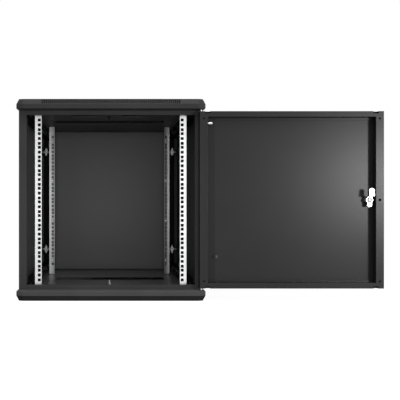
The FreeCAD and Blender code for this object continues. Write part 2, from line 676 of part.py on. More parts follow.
def back_panel_screws():
    """Seats of the back panel's screws, on its front face."""
    x = REAR_POST_INNER - REAR_POST_TONGUE + BACK_PANEL_OVERLAP - SCREW_EDGE
    heights = [CEILING * share for share in (-0.86, -0.29, 0.29, 0.86)]
    return [V(side * x, BACK_FACE, z) for side in (-1, 1) for z in heights]


def make_back_panel():
    half = REAR_POST_INNER - REAR_POST_TONGUE + BACK_PANEL_OVERLAP
    top = CEILING - BACK_PANEL_GAP
    panel = block(-half, half, BACK_FACE, BACK_SEAT, -top, top)
    holes = [screw_hole(seat, Y_AXIS) for seat in back_panel_screws()]
    return panel.cut(Part.makeCompound(holes))


def make_hinge_lugs():
    """Lugs that carry the door's pins: flat arms welded on the frame's face."""
    side = HALF_BODY - HINGE_LUG_WIDTH
    arm = block(side, HALF_BODY, HINGE_Y, FRAME_FACE, HINGE_LUG_LOW, HINGE_LUG_TOP)
    nose = rod(HINGE_LUG_NOSE, V(HINGE_X, HINGE_Y, HINGE_LUG_LOW), V(HINGE_X, HINGE_Y, HINGE_LUG_TOP))
    bridge = block(side, HINGE_X, HINGE_Y - HINGE_LUG_NOSE, HINGE_Y, HINGE_LUG_LOW, HINGE_LUG_TOP)
    radius = HINGE_PIN_RADIUS + PIN_CLEARANCE
    below = V(HINGE_X, HINGE_Y, HINGE_LUG_LOW - HINGE_LUG_SHEET)
    bore = rod(radius, below, V(HINGE_X, HINGE_Y, HINGE_LUG_TOP + HINGE_LUG_SHEET))
    lug = union([arm, nose, bridge]).cut(bore)
    return Part.makeCompound([lug, flip_z(lug)])


def earth_stud_foot():
    """Where the upper earth stud stands on the inner roof plate."""
    return V(EARTH_STUD_OFFSET, FRONT + EARTH_STUD_BEHIND_FRONT, CEILING)


def make_earth_studs():
    foot = earth_stud_foot()
    stud = many_sided(STUD_RADIUS, foot, foot - Z_AXIS * STUD_LENGTH, BAR_SIDES)
    return Part.makeCompound([stud, flip_z(stud)])


def make_earth_nuts():
    foot = earth_stud_foot()
    bore = many_sided(STUD_RADIUS + SCREW_CLEARANCE, foot, foot - Z_AXIS * STUD_LENGTH, BAR_SIDES, True)
    nut = hexagon(STUD_NUT_FLATS, NUT_HEIGHT, foot, Z_AXIS * -1).cut(bore)
    return Part.makeCompound([nut, flip_z(nut)])


def make_sheet_screws():
    """All pan head screws of the fixed sheets."""
    through = PLATE_SHEET + COVER_SHEET
    upper = [pan_screw(seat, Z_AXIS, through) for seat in entry_screws()]
    for seat in skirt_screws():
        screw = pan_screw(seat, X_AXIS * -1)
        upper += [screw, flip_x(screw)]
    screws = upper + [flip_z(screw) for screw in upper]
    screws += [pan_screw(seat, Y_AXIS) for seat in back_panel_screws()]
    return Part.makeCompound(screws)


# ---------------------------------------------------------------- rails

def make_rail(face):
    """Right rail: an L profile with its column of square holes."""
    sheet = RAIL_SHEET
    front = block(RAIL_INNER, RAIL_OUTER, face, face + sheet, -RAIL_TOP, RAIL_TOP)
    web = block(RAIL_OUTER - sheet, RAIL_OUTER, face, face + RAIL_WEB_DEPTH, -RAIL_TOP, RAIL_TOP)
    rail = union([front, web])
    cutters = []
    half = RACK_HOLE_SIZE / 2
    x0 = RAIL_COLUMN - half
    x1 = RAIL_COLUMN + half
    for unit in range(RACK_UNITS):
        for share in RACK_HOLE_SHARES:
            z = (unit + share) * UNIT_HEIGHT - HALF_UNITS
            cutters.append(block(x0, x1, face - sheet, face + 2 * sheet, z - half, z + half))
    return rail.cut(Part.makeCompound(cutters))


def beam_bolt_seat(face):
    """Where the head of one upper bracket's bolt sits, on the leg along the side beam."""
    y = face + RAIL_SHEET + BRACKET_DEPTH / 2
    return V(BEAM_INNER - TOUCH_GAP - BRACKET_SHEET, y, SLOT_Z)


def bracket(face):
    """Upper right bracket, welded to a rail's web: an inverted U beside the side beam."""
    front = face + RAIL_SHEET
    rear = front + BRACKET_DEPTH
    outer = BEAM_INNER - TOUCH_GAP
    top = SLOT_Z + BRACKET_HEIGHT / 2
    low = SLOT_Z - BRACKET_HEIGHT / 2
    sheet = BRACKET_SHEET
    bridge = block(RAIL_OUTER, outer, front, rear, top - sheet, top)
    rail_leg = block(RAIL_OUTER, RAIL_OUTER + sheet, front, rear, low, top)
    beam_leg = block(outer - sheet, outer, front, rear, low, top)
    seat = beam_bolt_seat(face)
    reach = X_AXIS * 2 * BRACKET_SHEET
    hole = many_sided(BOLT_RADIUS + SCREW_CLEARANCE, seat - reach, seat + reach, SCREW_SIDES, True)
    return union([bridge, rail_leg, beam_leg]).cut(hole)


def make_brackets(face):
    piece = bracket(face)
    return Part.makeCompound([piece, flip_z(piece)])


def hex_bolt(seat, direction, grip):
    """Bolt with its head on the seat and a nut at the end of its grip."""
    head = hexagon(BOLT_HEAD_FLATS, BOLT_HEAD_HEIGHT, seat, direction * -1)
    nut_seat = seat + direction * grip
    end = nut_seat + direction * (NUT_HEIGHT + BOLT_END)
    shank = many_sided(BOLT_RADIUS, seat, end, SCREW_SIDES)
    nut = hexagon(BOLT_HEAD_FLATS, NUT_HEIGHT, nut_seat, direction)
    bore = many_sided(BOLT_RADIUS + SCREW_CLEARANCE, seat, end, SCREW_SIDES, True)
    return [union([head, shank]), nut.cut(bore)]


def make_rail_bolts(face):
    """Bolts and nuts of one rail's two brackets."""
    grip = BRACKET_SHEET + FRAME_SHEET + 2 * TOUCH_GAP
    pieces = hex_bolt(beam_bolt_seat(face), X_AXIS, grip)
    return Part.makeCompound(pieces + [flip_z(piece) for piece in pieces])


# ---------------------------------------------------------------- door, built closed

def corner_notches():
    """Relief cuts where the stiles' flanges meet the rails' flanges."""
    half = CORNER_NOTCH_WIDTH / 2
    low = DOOR_HALF_HEIGHT - CORNER_NOTCH_HEIGHT
    high = DOOR_HALF_HEIGHT + DOOR_SHEET
    cutters = []
    for x in (LOCK_EDGE + STILE_WIDTH, HINGE_EDGE - STILE_WIDTH):
        front = DOOR_BACK - CORNER_NOTCH_DEPTH
        notch = block(x - half, x + half, front, DOOR_BACK + DOOR_SHEET, low, high)
        cutters += [notch, flip_z(notch)]
    return cutters


def stile_holes():
    """Small holes in the stiles' flanges, with a larger one for a buffer at the lock's height."""
    cutters = []
    z = DOOR_HALF_HEIGHT - STILE_HOLE_DROP
    through = Y_AXIS * DOOR_SHEET
    for x in (LOCK_EDGE + STILE_HOLE_INSET, HINGE_EDGE - STILE_HOLE_INSET):
        centre = V(x, DOOR_BACK, z)
        hole = many_sided(STILE_HOLE_RADIUS, centre - through * 2, centre + through, BAR_SIDES)
        cutters += [hole, flip_z(hole)]
    centre = V(LOCK_EDGE + STILE_HOLE_INSET, DOOR_BACK, 0)
    cutters.append(many_sided(BUFFER_HOLE_RADIUS, centre - through * 2, centre + through, BAR_SIDES))
    return cutters


def make_door_panel():
    """Folded pan: skin, four edges and their return flanges."""
    sheet = DOOR_SHEET
    top = DOOR_HALF_HEIGHT
    pan = block(LOCK_EDGE, HINGE_EDGE, DOOR_SKIN, DOOR_BACK, -top, top)
    x0 = LOCK_EDGE + sheet
    x1 = HINGE_EDGE - sheet
    hollow = block(x0, x1, DOOR_INSIDE, DOOR_BACK - sheet, -top + sheet, top - sheet)
    window_low = LOCK_EDGE + STILE_WIDTH
    window_high = HINGE_EDGE - STILE_WIDTH
    window_top = top - DOOR_RAIL_WIDTH
    front = DOOR_BACK - 2 * sheet
    window = block(window_low, window_high, front, DOOR_BACK + sheet, -window_top, window_top)
    pan = pan.cut(hollow).cut(window)
    radius = HINGE_PIN_RADIUS + PASS_CLEARANCE
    low = V(HINGE_X, HINGE_Y, -top - sheet)
    bore = many_sided(radius, low, V(HINGE_X, HINGE_Y, top + sheet), BAR_SIDES, True)
    outside = V(LOCK_X, DOOR_SKIN - sheet, 0)
    inside = V(LOCK_X, DOOR_INSIDE + sheet, 0)
    barrel = many_sided(LOCK_BARREL_RADIUS + SCREW_CLEARANCE, outside, inside, BAR_SIDES, True)
    cutters = corner_notches() + stile_holes() + [bore, barrel]
    return opened(pan.cut(Part.makeCompound(cutters)))


def stiffener_stile(flange_edge, inward, foot):
    """Upright angle under a stile's flange: a wall and a foot on the skin."""
    sheet = DOOR_STIFFENER_SHEET
    top = DOOR_HALF_HEIGHT - DOOR_SHEET
    back = DOOR_BACK - DOOR_SHEET
    wall = block(flange_edge, flange_edge - inward * sheet, DOOR_INSIDE, back, -top, top)
    plate = block(flange_edge, flange_edge + inward * foot, DOOR_INSIDE, DOOR_INSIDE + sheet, -top, top)
    piece = union([wall, plate])
    return piece.cut(Part.makeCompound(corner_notches()))


def make_door_stile_hinge():
    """Hinge-side stiffener with a window for the upper pin's handle."""
    edge = HINGE_EDGE - STILE_WIDTH
    piece = stiffener_stile(edge, -1, DOOR_FOOT_HINGE)
    room = HINGE_GRIP_RADIUS + HINGE_WINDOW_CLEARANCE
    low = HANDLE_Z - HINGE_TRAVEL - room
    high = HANDLE_Z + room
    reach = 2 * DOOR_STIFFENER_SHEET
    window = block(edge - reach, edge + reach, HINGE_Y - room, HINGE_Y + room, low, high)
    base = V(HINGE_EDGE - DOOR_STUD_INSET, DOOR_INSIDE, DOOR_STUD_HEIGHT)
    relief = STUD_NUT_FLATS * STUD_RELIEF_SHARE
    seat = many_sided(relief, base - Y_AXIS * DOOR_SHEET, base + Y_AXIS * DOOR_STUD_CLEAR, BAR_SIDES)
    return opened(piece.cut(window).cut(seat))


def make_door_stile_lock():
    return opened(stiffener_stile(LOCK_EDGE + STILE_WIDTH, 1, DOOR_FOOT_LOCK))


def make_door_rail():
    """Upper stiffener between the two upright ones."""
    sheet = DOOR_STIFFENER_SHEET
    x0 = LOCK_EDGE + STILE_WIDTH
    x1 = HINGE_EDGE - STILE_WIDTH
    edge = DOOR_HALF_HEIGHT - DOOR_RAIL_WIDTH
    back = DOOR_BACK - DOOR_SHEET
    foot0 = x0 + DOOR_FOOT_LOCK
    foot1 = x1 - DOOR_FOOT_HINGE
    wall = block(x0, x1, DOOR_INSIDE + sheet, back, edge, edge + sheet)
    wall_foot = block(foot0, foot1, DOOR_INSIDE, back, edge, edge + sheet)
    low = edge - DOOR_FOOT_RAIL
    foot = block(foot0, foot1, DOOR_INSIDE, DOOR_INSIDE + sheet, low, edge + sheet)
    return union([wall, wall_foot, foot])


def hinge_bracket():
    """Upper bracket on the skin: a foot and a lug that guides the pin."""
    sheet = HINGE_BRACKET_SHEET
    low = COLLAR_LOW - HINGE_SPRING_LENGTH - sheet
    edge = HINGE_EDGE - DOOR_SHEET - TOUCH_GAP
    inner = edge - HINGE_BRACKET_WIDTH
    back = DOOR_BACK - DOOR_SHEET - TOUCH_GAP
    foot = block(inner, edge, DOOR_INSIDE, DOOR_INSIDE + sheet, low, low + HINGE_BRACKET_HEIGHT)
    lug = block(inner, edge, DOOR_INSIDE, back, low, low + sheet)
    below = V(HINGE_X, HINGE_Y, low - sheet)
    above = V(HINGE_X, HINGE_Y, low + 2 * sheet)
    bore = many_sided(HINGE_PIN_RADIUS + PASS_CLEARANCE, below, above, BAR_SIDES, True)
    return union([foot, lug]).cut(bore)


def make_hinge_brackets():
    piece = opened(hinge_bracket())
    return Part.makeCompound([piece, flip_z(piece)])


def hinge_elbow(low):
    """Bend of the upper pin: its section carried along two short straight runs."""
    bend = HINGE_BEND_RADIUS
    corners = []
    for index in range(BAR_SIDES):
        angle = 2 * math.pi * index / BAR_SIDES
        x = HINGE_X + HINGE_PIN_RADIUS * math.cos(angle)
        corners.append(V(x, HINGE_Y + HINGE_PIN_RADIUS * math.sin(angle), low + bend))
    section = Part.makePolygon(corners + [corners[0]])
    middle = bend * (1 - math.sqrt(0.5))
    route = [V(HINGE_X, HINGE_Y, low + bend), V(HINGE_X - middle, HINGE_Y, low + middle)]
    route += [V(HINGE_X - bend, HINGE_Y, low), V(HINGE_X - HINGE_HANDLE_LENGTH, HINGE_Y, low)]
    return Part.Solid(Part.makePolygon(route).makePipeShell([section], True, False, 1))


def make_hinge_pin():
    """Upper pin, bent into an L handle, with its stop collar and grip."""
    foot = V(HINGE_X, HINGE_Y, HANDLE_Z + HINGE_BEND_RADIUS)
    upright = rod(HINGE_PIN_RADIUS, foot, V(HINGE_X, HINGE_Y, PIN_TIP))
    seat = V(HINGE_X, HINGE_Y, COLLAR_LOW)
    collar = many_sided(HINGE_COLLAR_RADIUS, seat, seat + Z_AXIS * HINGE_COLLAR_HEIGHT, BAR_SIDES)
    end = V(HINGE_X - HINGE_HANDLE_LENGTH, HINGE_Y, HANDLE_Z)
    grip = many_sided(HINGE_GRIP_RADIUS, end, end + X_AXIS * HINGE_GRIP_LENGTH, BAR_SIDES)
    return opened(union([upright, hinge_elbow(HANDLE_Z), collar, grip]))


def make_lower_pin():
    """Plain lower pin: its head rests on the lower bracket."""
    head_low = -(COLLAR_LOW - HINGE_SPRING_LENGTH - HINGE_BRACKET_SHEET)
    seat = V(HINGE_X, HINGE_Y, head_low)
    head = many_sided(HINGE_COLLAR_RADIUS, seat, seat + Z_AXIS * HINGE_COLLAR_HEIGHT, BAR_SIDES)
    shank = rod(HINGE_PIN_RADIUS, V(HINGE_X, HINGE_Y, -PIN_TIP), seat)
    return opened(union([head, shank]))


def make_hinge_spring():
    """Coil spring between the upper bracket's lug and the pin's collar, drawn in short runs."""
    low = COLLAR_LOW - HINGE_SPRING_LENGTH + TOUCH_GAP + HINGE_SPRING_WIRE / 2
    rise = HINGE_SPRING_LENGTH - 2 * TOUCH_GAP - HINGE_SPRING_WIRE
    steps = HINGE_SPRING_TURNS * SPRING_RUNS
    route = []
    for step in range(steps + 1):
        angle = 2 * math.pi * step / SPRING_RUNS
        x = HINGE_X + HINGE_SPRING_RADIUS * math.cos(angle)
        y = HINGE_Y + HINGE_SPRING_RADIUS * math.sin(angle)
        route.append(V(x, y, low + rise * step / steps))
    half = HINGE_SPRING_WIRE / 2
    x = route[0].x
    y = route[0].y
    corners = [V(x - half, y, low), V(x, y, low - half), V(x + half, y, low), V(x, y, low + half)]
    section = Part.makePolygon(corners + [corners[0]])
    coil = Part.BRepOffsetAPI.MakePipeShell(Part.makePolygon(route))
    spine = [V(HINGE_X, HINGE_Y, point.z) for point in route]
    coil.setAuxiliarySpine(Part.makePolygon(spine), True, 0)
    coil.setTransitionMode(1)
    coil.add(section)
    coil.build()
    coil.makeSolid()
    return opened(Part.Solid(coil.shape()))


def make_lock_housing():
    """Round head outside the skin and threaded barrel through it, bored for the plug."""
    head = rod(LOCK_HEAD_RADIUS, V(LOCK_X, DOOR_SKIN - LOCK_HEAD_HEIGHT, 0), V(LOCK_X, DOOR_SKIN, 0))
    end = DOOR_INSIDE + LOCK_BARREL_LENGTH
    barrel = rod(LOCK_BARREL_RADIUS, V(LOCK_X, DOOR_SKIN, 0), V(LOCK_X, end, 0))
    radius = LOCK_PLUG_RADIUS + PIN_CLEARANCE
    front = V(LOCK_X, DOOR_SKIN - 2 * LOCK_HEAD_HEIGHT, 0)
    bore = rod(radius, front, V(LOCK_X, end + LOCK_HEAD_HEIGHT, 0))
    return opened(union([head, barrel]).cut(bore))


def make_lock_nut():
    """Hexagonal nut that clamps the lock on the skin."""
    seat = V(LOCK_X, DOOR_INSIDE, 0)
    nut = hexagon(LOCK_NUT_FLATS, LOCK_NUT_HEIGHT, seat, Y_AXIS)
    end = seat + Y_AXIS * LOCK_NUT_HEIGHT
    bore = many_sided(LOCK_BARREL_RADIUS + SCREW_CLEARANCE, seat, end, BAR_SIDES, True)
    return opened(nut.cut(bore))


def make_lock_cylinder():
    """Plug with its keyway and the spigot that carries the cam."""
    front = DOOR_SKIN - LOCK_HEAD_HEIGHT
    end = CAM_BASE_FRONT + CAM_SHEET
    plug = rod(LOCK_PLUG_RADIUS, V(LOCK_X, front, 0), V(LOCK_X, end, 0))
    half_width = LOCK_KEYWAY_WIDTH / 2
    half_length = LOCK_KEYWAY_LENGTH / 2
    x0 = LOCK_X - half_width
    x1 = LOCK_X + half_width
    depth = LOCK_HEAD_HEIGHT * 2
    keyway = block(x0, x1, front - depth, front + depth, -half_length, half_length)
    foot = V(LOCK_X, end - SCREW_LENGTH, 0)
    thread = many_sided(SCREW_RADIUS, foot, V(LOCK_X, end, 0), SCREW_SIDES, True)
    return opened(plug.cut(keyway).cut(thread))


def make_lock_cam():
    """Stepped cam: hub and tail in one plane, its tip in a plane further out."""
    base = CAM_BASE_FRONT
    tip = CAM_TIP_FRONT
    sheet = CAM_SHEET
    bend_end = CAM_BEND_START + CAM_BEND_LENGTH
    front = [V(0, base, -CAM_TAIL_REACH), V(0, base, CAM_BEND_START + sheet), V(0, tip, bend_end + sheet)]
    front += [V(0, tip, CAM_REACH)]
    back = [V(0, tip + sheet, CAM_REACH), V(0, tip + sheet, bend_end), V(0, base + sheet, CAM_BEND_START)]
    back += [V(0, base + sheet, -CAM_TAIL_REACH)]
    strip = prism(front + back, X_AXIS * CAM_ARM_WIDTH * 2)
    strip.translate(V(LOCK_X - CAM_ARM_WIDTH, 0, 0))
    y0 = base - sheet
    y1 = tip + 2 * sheet
    half = CAM_ARM_WIDTH / 2
    arm = rounded_block(LOCK_X - half, LOCK_X + half, y0, y1, 0, CAM_REACH, CAM_CORNER, Y_AXIS)
    half = CAM_TAIL_WIDTH / 2
    corner = CAM_TAIL_WIDTH / 3
    tail = rounded_block(LOCK_X - half, LOCK_X + half, y0, y1, -CAM_TAIL_REACH, 0, corner, Y_AXIS)
    hub = rod(CAM_HUB_RADIUS, V(LOCK_X, y0, 0), V(LOCK_X, y1, 0))
    outline = union([arm, tail, hub])
    bore = rod(LOCK_PLUG_RADIUS, V(LOCK_X, y0, 0), V(LOCK_X, y1, 0))
    return opened(strip.common(outline).cut(bore))


def make_cam_screw():
    """Screw with a wide head that holds the cam on the plug."""
    seat = V(LOCK_X, CAM_BASE_FRONT + CAM_SHEET, 0)
    head = many_sided(CAM_SCREW_HEAD_RADIUS, seat, seat + Y_AXIS * CAM_SCREW_HEAD_HEIGHT, BAR_SIDES)
    end = seat - Y_AXIS * (SCREW_LENGTH - CAM_SCREW_END_GAP)
    shank = many_sided(SCREW_RADIUS - SCREW_CLEARANCE, seat, end, SCREW_SIDES)
    return opened(union([head, shank]))


def make_door_earth_stud():
    """Stud welded on the skin, with its nut."""
    foot = V(HINGE_EDGE - DOOR_STUD_INSET, DOOR_INSIDE, DOOR_STUD_HEIGHT)
    end = foot + Y_AXIS * STUD_LENGTH
    stud = many_sided(STUD_RADIUS, foot, end, BAR_SIDES)
    bore = many_sided(STUD_RADIUS + SCREW_CLEARANCE, foot, end, BAR_SIDES, True)
    nut = hexagon(STUD_NUT_FLATS, NUT_HEIGHT, foot, Y_AXIS).cut(bore)
    return Part.makeCompound([opened(stud), opened(nut)])


# ---------------------------------------------------------------- side panels

def make_side_panel():
    """Right side panel: a shallow pan with two tongues at its front edge."""
    sheet = PANEL_SHEET
    inner = HALF_BODY - PANEL_FLANGE
    pan = block(inner, HALF_BODY, PANEL_FRONT, PANEL_REAR, -PANEL_TOP, PANEL_TOP)
    top = PANEL_TOP - sheet
    hollow = block(inner - sheet, HALF_BODY - sheet, PANEL_FRONT + sheet, PANEL_REAR - sheet, -top, top)
    pieces = [pan.cut(hollow)]
    x = HALF_BODY - TONGUE_INSET
    for z in (-TONGUE_OFFSET, TONGUE_OFFSET):
        half = TONGUE_HEIGHT / 2
        front = PANEL_FRONT - TONGUE_LENGTH
        rear = PANEL_FRONT + sheet
        pieces.append(block(x - sheet / 2, x + sheet / 2, front, rear, z - half, z + half))
    cutters = []
    for z in (-LATCH_OFFSET, LATCH_OFFSET):
        centre = V(HALF_BODY, -LATCH_FROM_WALL, z)
        inside = centre - X_AXIS * 2 * sheet
        radius = LATCH_BUSH_RADIUS + SCREW_CLEARANCE
        cutters.append(many_sided(radius, inside, centre, BAR_SIDES, True))
    return union(pieces).cut(Part.makeCompound(cutters))


def latch_bush(z):
    """Fixed bush of one latch: head outside the panel, barrel through it, nut inside."""
    seat = V(HALF_BODY, -LATCH_FROM_WALL, z)
    end = seat - X_AXIS * LATCH_BUSH_LENGTH
    front = seat + X_AXIS * LATCH_HEAD_HEIGHT
    head = many_sided(LATCH_HEAD_RADIUS, seat, front, DISC_SIDES)
    barrel = many_sided(LATCH_BUSH_RADIUS, end, seat, BAR_SIDES)
    bore = many_sided(LATCH_SHAFT_RADIUS + PASS_CLEARANCE, end, front, BAR_SIDES, True)
    nut_seat = seat - X_AXIS * PANEL_SHEET
    nut = hexagon(LATCH_NUT_FLATS, LATCH_NUT_HEIGHT, nut_seat, X_AXIS * -1)
    nut_bore = many_sided(LATCH_BUSH_RADIUS + SCREW_CLEARANCE, end, seat, BAR_SIDES, True)
    return [union([head, barrel]).cut(bore), nut.cut(nut_bore)]


def make_latch_bushes():
    """Bushes and nuts of the right panel's two latches."""
    return Part.makeCompound(latch_bush(-LATCH_OFFSET) + latch_bush(LATCH_OFFSET))


def make_latch(z):
    """Turning latch of the right panel: shaft with its lens-shaped two-ended cam."""
    seat = V(HALF_BODY, -LATCH_FROM_WALL, z)
    face = seat + X_AXIS * (LATCH_HEAD_HEIGHT - TOUCH_GAP)
    end = seat - X_AXIS * LATCH_SHAFT_END
    shaft = many_sided(LATCH_SHAFT_RADIUS, end, face, BAR_SIDES)
    half_height = LATCH_CAM_HEIGHT / 2
    half_thick = LATCH_CAM_THICKNESS / 2
    y0 = -LATCH_FROM_WALL - LATCH_CAM_WIDTH / 2
    outer = []
    inner = []
    for step in range(LATCH_CAM_STEPS):
        share = 2 * step / LATCH_CAM_STEPS - 1
        swell = half_thick * (1 - share ** 2)
        outer.append(V(LATCH_CAM_X + swell, y0, z + share * half_height))
        inner.append(V(LATCH_CAM_X - swell, y0, z - share * half_height))
    lens = prism(outer + inner, Y_AXIS * LATCH_CAM_WIDTH)
    half = LATCH_SLOT_WIDTH / 2
    reach = LATCH_SLOT_LENGTH / 2
    depth = LATCH_SLOT_DEPTH
    slot = block(face.x - depth, face.x + depth, seat.y - half, seat.y + half, z - reach, z + reach)
    return union([shaft, lens]).cut(slot)


def make_nodes():
    """Every node by name, in the order of assembly."""
    front_face = FRONT + FRONT_RAIL_SETBACK
    rear_face = -REAR_RAIL_FROM_WALL
    nodes = {
        "top_cover": make_top_cover(),
        "bottom_cover": make_bottom_cover(),
        "front_post_left": make_front_post_left(),
        "front_post_right": make_front_post(),
        "front_beam_top": make_front_beam(),
        "front_beam_bottom": flip_z(make_front_beam()),
        "rear_post_left": flip_x(make_rear_post()),
        "rear_post_right": make_rear_post(),
        "rear_beam_top": make_rear_beam(),
        "rear_beam_bottom": flip_z(make_rear_beam()),
        "side_beam_top_right": make_side_beam(),
        "side_beam_top_left": flip_x(make_side_beam()),
        "side_beam_bottom_right": flip_z(make_side_beam()),
        "side_beam_bottom_left": flip_z(flip_x(make_side_beam())),
        "roof_plate": make_roof_plate(),
        "floor_plate": make_floor_plate(),
        "back_panel": make_back_panel(),
        "top_entry_plate": make_entry_plate(),
        "bottom_entry_plate": flip_z(make_entry_plate()),
        "hinge_lugs": make_hinge_lugs(),
        "earth_studs": make_earth_studs(),
        "earth_nuts": make_earth_nuts(),
        "sheet_screws": make_sheet_screws(),
        "door_panel": make_door_panel(),
        "door_stile_hinge": make_door_stile_hinge(),
        "door_stile_lock": make_door_stile_lock(),
        "door_rail_top": opened(make_door_rail()),
        "door_rail_bottom": opened(flip_z(make_door_rail())),
        "hinge_brackets": make_hinge_brackets(),
        "hinge_pin_upper": make_hinge_pin(),
        "hinge_pin_lower": make_lower_pin(),
        "hinge_spring": make_hinge_spring(),
        "lock_housing": make_lock_housing(),
        "lock_nut": make_lock_nut(),
        "lock_cylinder": make_lock_cylinder(),
        "lock_cam": make_lock_cam(),
        "lock_cam_screw": make_cam_screw(),
        "door_earth_stud": make_door_earth_stud(),
        "side_panel_right": make_side_panel(),
        "side_panel_left": flip_x(make_side_panel()),
        "latch_bushes_right": make_latch_bushes(),
        "latch_bushes_left": flip_x(make_latch_bushes()),
    }
    for place, face in (("front", front_face), ("rear", rear_face)):
        for side, place_side in (("right", lambda shape: shape), ("left", flip_x)):
            nodes[f"rail_{place}_{side}"] = place_side(make_rail(face))
            nodes[f"rail_brackets_{place}_{side}"] = place_side(make_brackets(face))
            nodes[f"rail_bolts_{place}_{side}"] = place_side(make_rail_bolts(face))
    for level, z in (("upper", LATCH_OFFSET), ("lower", -LATCH_OFFSET)):
        nodes[f"latch_{level}_right"] = make_latch(z)
        nodes[f"latch_{level}_left"] = flip_x(make_latch(z))
    return nodes


def export_nodes():
    """Write one STEP file for each node."""
    os.makedirs("parts", exist_ok=True)
    for name, shape in make_nodes().items():
        shape.exportStep(f"parts/{name}.step")


export_nodes()
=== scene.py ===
"""Wall mount network cabinet, 12 units high, with its door swung open.

Each section dresses one piece, or one group of like pieces, in the order in which
the cabinet is put together. Lengths are in metres.
"""
import bmesh
import bpy
import math
from mathutils import Matrix, Vector


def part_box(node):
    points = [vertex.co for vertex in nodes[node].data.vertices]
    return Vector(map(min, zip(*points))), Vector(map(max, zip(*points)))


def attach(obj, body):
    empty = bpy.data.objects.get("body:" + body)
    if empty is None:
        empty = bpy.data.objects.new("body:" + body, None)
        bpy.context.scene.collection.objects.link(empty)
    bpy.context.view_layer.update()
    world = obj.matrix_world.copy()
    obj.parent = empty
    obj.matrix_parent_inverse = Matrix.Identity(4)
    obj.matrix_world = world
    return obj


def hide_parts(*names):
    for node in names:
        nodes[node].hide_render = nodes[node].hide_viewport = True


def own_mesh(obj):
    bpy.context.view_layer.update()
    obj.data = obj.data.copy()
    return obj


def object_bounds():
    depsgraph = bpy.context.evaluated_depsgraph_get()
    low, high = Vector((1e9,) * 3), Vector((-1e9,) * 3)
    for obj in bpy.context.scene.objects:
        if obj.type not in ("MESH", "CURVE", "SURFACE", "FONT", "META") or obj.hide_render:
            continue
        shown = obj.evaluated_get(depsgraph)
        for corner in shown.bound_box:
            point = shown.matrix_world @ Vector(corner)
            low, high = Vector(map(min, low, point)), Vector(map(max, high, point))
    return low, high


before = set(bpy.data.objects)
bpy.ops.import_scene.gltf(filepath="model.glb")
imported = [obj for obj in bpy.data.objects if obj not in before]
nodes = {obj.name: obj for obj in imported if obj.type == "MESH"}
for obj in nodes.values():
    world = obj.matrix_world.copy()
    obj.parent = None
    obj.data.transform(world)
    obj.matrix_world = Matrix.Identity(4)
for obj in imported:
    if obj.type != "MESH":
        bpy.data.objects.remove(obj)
cad_box = [list(corner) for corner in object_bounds()]

# ------------------------------------------------------------------ camera
# Level with the middle of the cabinet, in front of its bay, so that the open
# door fills the right half of the picture.
camera_data = bpy.data.cameras.new("camera")
camera_data.lens = 43.6
camera_data.sensor_width = 36.0
camera_data.shift_x = 0.24
camera_data.shift_y = 0.006
camera = bpy.data.objects.new("camera", camera_data)
camera.location = (-0.022, -2.130, -0.008)
camera.rotation_euler = (math.radians(90), 0, 0)
bpy.context.scene.collection.objects.link(camera)
bpy.context.scene.camera = camera
bpy.context.scene.view_settings.view_transform = "Standard"

# ------------------------------------------------------------------ studio
# A pale seamless floor just under the cabinet and soft lamps round it. The floor
# and the world are white to the camera and plain grey to the object.
WHITE = (1, 1, 1, 1)
FLOOR_GREY = (0.22, 0.22, 0.22, 1)
FLOOR_REACH = 14.0                  # from the floor's middle to its edges
FLOOR_DROP = 0.0005                 # from the cabinet's underside to the floor
GLOW_NEAR = (1.0, 0.94)             # distance from the middle, strength
GLOW_FAR = (3.0, 1.0)
WORLD_LIGHT = 0.03


def add_node(tree, kind, values=None, **settings):
    """New shader node with its settings and the values of its unlinked inputs."""
    node = tree.nodes.new(kind)
    for name, setting in settings.items():
        setattr(node, name, setting)
    for name, value in (values or {}).items():
        node.inputs[name].default_value = value
    return node


def mapped(tree, value, start, end):
    """Value mapped from start to end, each of them a pair (before, after)."""
    share = add_node(tree, "ShaderNodeMapRange", {
        "From Min": start[0], "From Max": end[0], "To Min": start[1], "To Max": end[1]})
    tree.links.new(value, share.inputs["Value"])
    return share.outputs["Result"]


def seen_rays(tree):
    """One for rays that show the background: straight, mirrored or through glass."""
    path = add_node(tree, "ShaderNodeLightPath")
    seen = path.outputs["Is Camera Ray"]
    for kind in ("Is Glossy Ray", "Is Transmission Ray"):
        either = add_node(tree, "ShaderNodeMath", operation="MAXIMUM")
        tree.links.new(seen, either.inputs[0])
        tree.links.new(path.outputs[kind], either.inputs[1])
        seen = either.outputs["Value"]
    return seen


def shown_instead(tree, plain, shown, kind):
    """Output of a shader tree: plain to the object's light, shown to seen rays."""
    mixer = add_node(tree, "ShaderNodeMixShader")
    output = add_node(tree, kind)
    tree.links.new(seen_rays(tree), mixer.inputs["Fac"])
    tree.links.new(plain, mixer.inputs[1])
    tree.links.new(shown, mixer.inputs[2])
    tree.links.new(mixer.outputs["Shader"], output.inputs["Surface"])


def new_object(name, mesh, material):
    """Link a mesh object, at the origin and unscaled, made from a bmesh."""
    data = bpy.data.meshes.new(name)
    mesh.to_mesh(data)
    mesh.free()
    data.materials.append(material)
    item = bpy.data.objects.new(name, data)
    bpy.context.scene.collection.objects.link(item)
    return item


